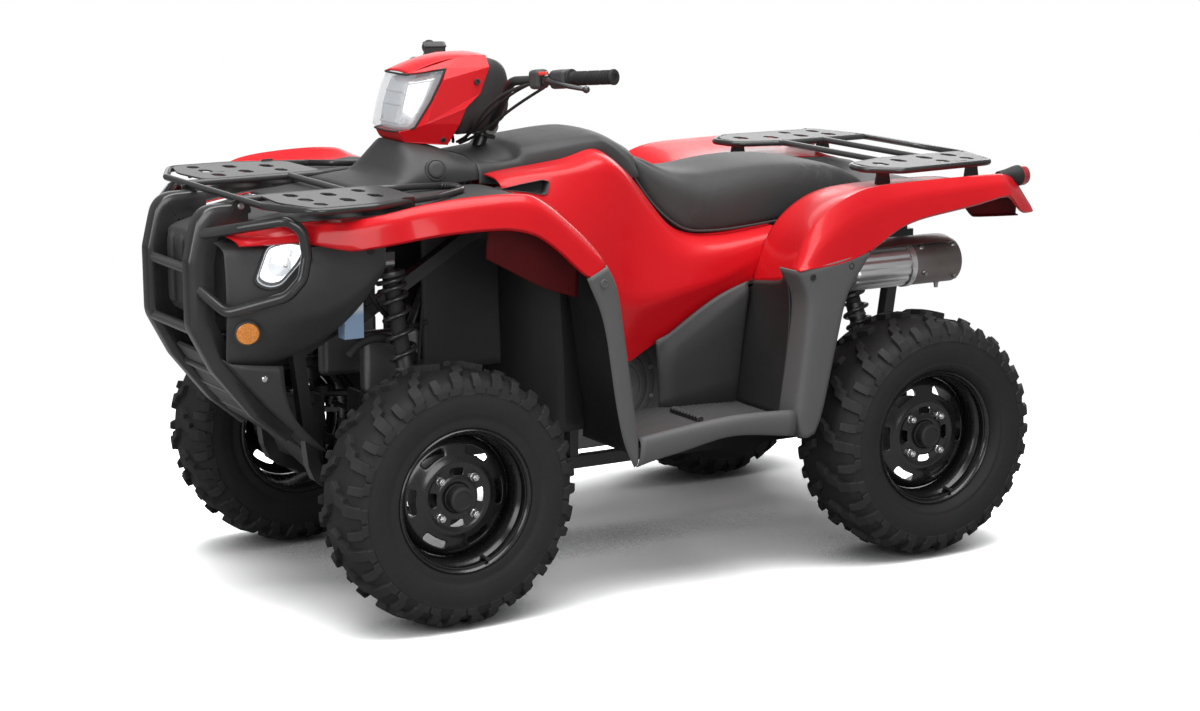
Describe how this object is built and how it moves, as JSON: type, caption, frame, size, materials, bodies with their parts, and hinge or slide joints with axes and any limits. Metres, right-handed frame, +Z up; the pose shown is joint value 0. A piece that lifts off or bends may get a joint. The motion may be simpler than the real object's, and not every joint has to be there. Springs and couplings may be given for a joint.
{
  "type": "quad bike",
  "caption": "Utility quad bike with steered front wheels, independent suspension, front and rear racks, bumper, long seat and footwells.",
  "frame": {"origin": "on the floor under the middle of the overall length, in the middle plane", "axes": "+X forward, +Y to the rider's left, +Z up"},
  "size_m": [2.149, 1.204, 1.2696],
  "materials": {
    "tyre_rubber": "matt",
    "black_steel": "semi-gloss",
    "cast_metal": "matt",
    "spring_steel": "satin",
    "bare_steel": "brushed",
    "dark_plastic": "grained",
    "red_plastic": "gloss",
    "lamp_glass": "clear",
    "red_lens": "gloss",
    "coolant_plastic": "satin",
    "seat_vinyl": "grained",
    "grip_rubber": "matt"
  },
  "bodies": {
    "chassis": {"main_frame": "black_steel", "engine": "cast_metal", "final_drives": "cast_metal", "half_shafts": "cast_metal", "front_arms": "black_steel", "rear_arms": "black_steel", "rear_knuckles": "cast_metal", "shocks": "spring_steel", "exhaust": "bare_steel", "muffler_shield": "bare_steel", "front_bumper": "black_steel", "skid_plate": "dark_plastic", "nose_cover": "dark_plastic", "nose_center": "dark_plastic", "headlamps": "lamp_glass", "coolant_tank": "coolant_plastic", "front_fenders": "red_plastic", "neck_cover": "dark_plastic", "tank_cover": "dark_plastic", "side_panels": "red_plastic", "seat": "seat_vinyl", "rear_fenders": "red_plastic", "rear_deck": "dark_plastic", "footwell_left": "dark_plastic", "footwell_right": "dark_plastic", "front_rack": "black_steel", "rear_rack": "black_steel", "tail_lamps": "red_lens"},
    "steering": {"steering_stem": "black_steel", "handlebar": "black_steel", "grips": "grip_rubber", "handlebar_controls": "dark_plastic", "head_cowl": "red_plastic", "head_lamp": "lamp_glass", "meter_cowl": "dark_plastic"},
    "knuckle_left": {"knuckle_left": "cast_metal"},
    "knuckle_right": {"knuckle_right": "cast_metal"},
    "tie_rod_left": {"tie_rod_left": "black_steel"},
    "tie_rod_right": {"tie_rod_right": "black_steel"},
    "wheel_front_left": {"tyre_front_left": "tyre_rubber", "rim_front_left": "black_steel"},
    "wheel_front_right": {"tyre_front_right": "tyre_rubber", "rim_front_right": "black_steel"},
    "wheel_rear_left": {"tyre_rear_left": "tyre_rubber", "rim_rear_left": "black_steel"},
    "wheel_rear_right": {"tyre_rear_right": "tyre_rubber", "rim_rear_right": "black_steel"}
  },
  "joints": [
    {"name": "steer", "type": "hinge", "parent": "chassis", "child": "steering", "pos_m": [0.234, 0, 1.083], "axis": [-0.4004, 0, 0.9163], "range_deg": [-40, 40]},
    {"name": "kingpin_left", "type": "hinge", "parent": "chassis", "child": "knuckle_left", "pos_m": [0.5775, 0.39, 0.305], "axis": [0, 0, 1], "range_deg": [-28, 28]},
    {"name": "tie_rod_left", "type": "hinge", "parent": "knuckle_left", "child": "tie_rod_left", "pos_m": [0.4775, 0.39, 0.355], "axis": [0, 0, 1], "range_deg": [-28, 28]},
    {"name": "spin_front_left", "type": "hinge", "parent": "knuckle_left", "child": "wheel_front_left", "pos_m": [0.5775, 0.446, 0.305], "axis": [0, 1, 0], "continuous": true},
    {"name": "spin_rear_left", "type": "hinge", "parent": "chassis", "child": "wheel_rear_left", "pos_m": [-0.7175, 0.483, 0.305], "axis": [0, 1, 0], "continuous": true},
    {"name": "kingpin_right", "type": "hinge", "parent": "chassis", "child": "knuckle_right", "pos_m": [0.5775, -0.39, 0.305], "axis": [0, 0, 1], "range_deg": [-28, 28]},
    {"name": "tie_rod_right", "type": "hinge", "parent": "knuckle_right", "child": "tie_rod_right", "pos_m": [0.4775, -0.39, 0.355], "axis": [0, 0, 1], "range_deg": [-28, 28]},
    {"name": "spin_front_right", "type": "hinge", "parent": "knuckle_right", "child": "wheel_front_right", "pos_m": [0.5775, -0.446, 0.305], "axis": [0, 1, 0], "continuous": true},
    {"name": "spin_rear_right", "type": "hinge", "parent": "chassis", "child": "wheel_rear_right", "pos_m": [-0.7175, -0.483, 0.305], "axis": [0, 1, 0], "continuous": true}
  ],
  "couplings": [
    {"joint": "kingpin_left", "follows": "steer", "ratio": 0.7},
    {"joint": "tie_rod_left", "follows": "steer", "ratio": -0.7},
    {"joint": "kingpin_right", "follows": "steer", "ratio": 0.7},
    {"joint": "tie_rod_right", "follows": "steer", "ratio": -0.7}
  ]
}
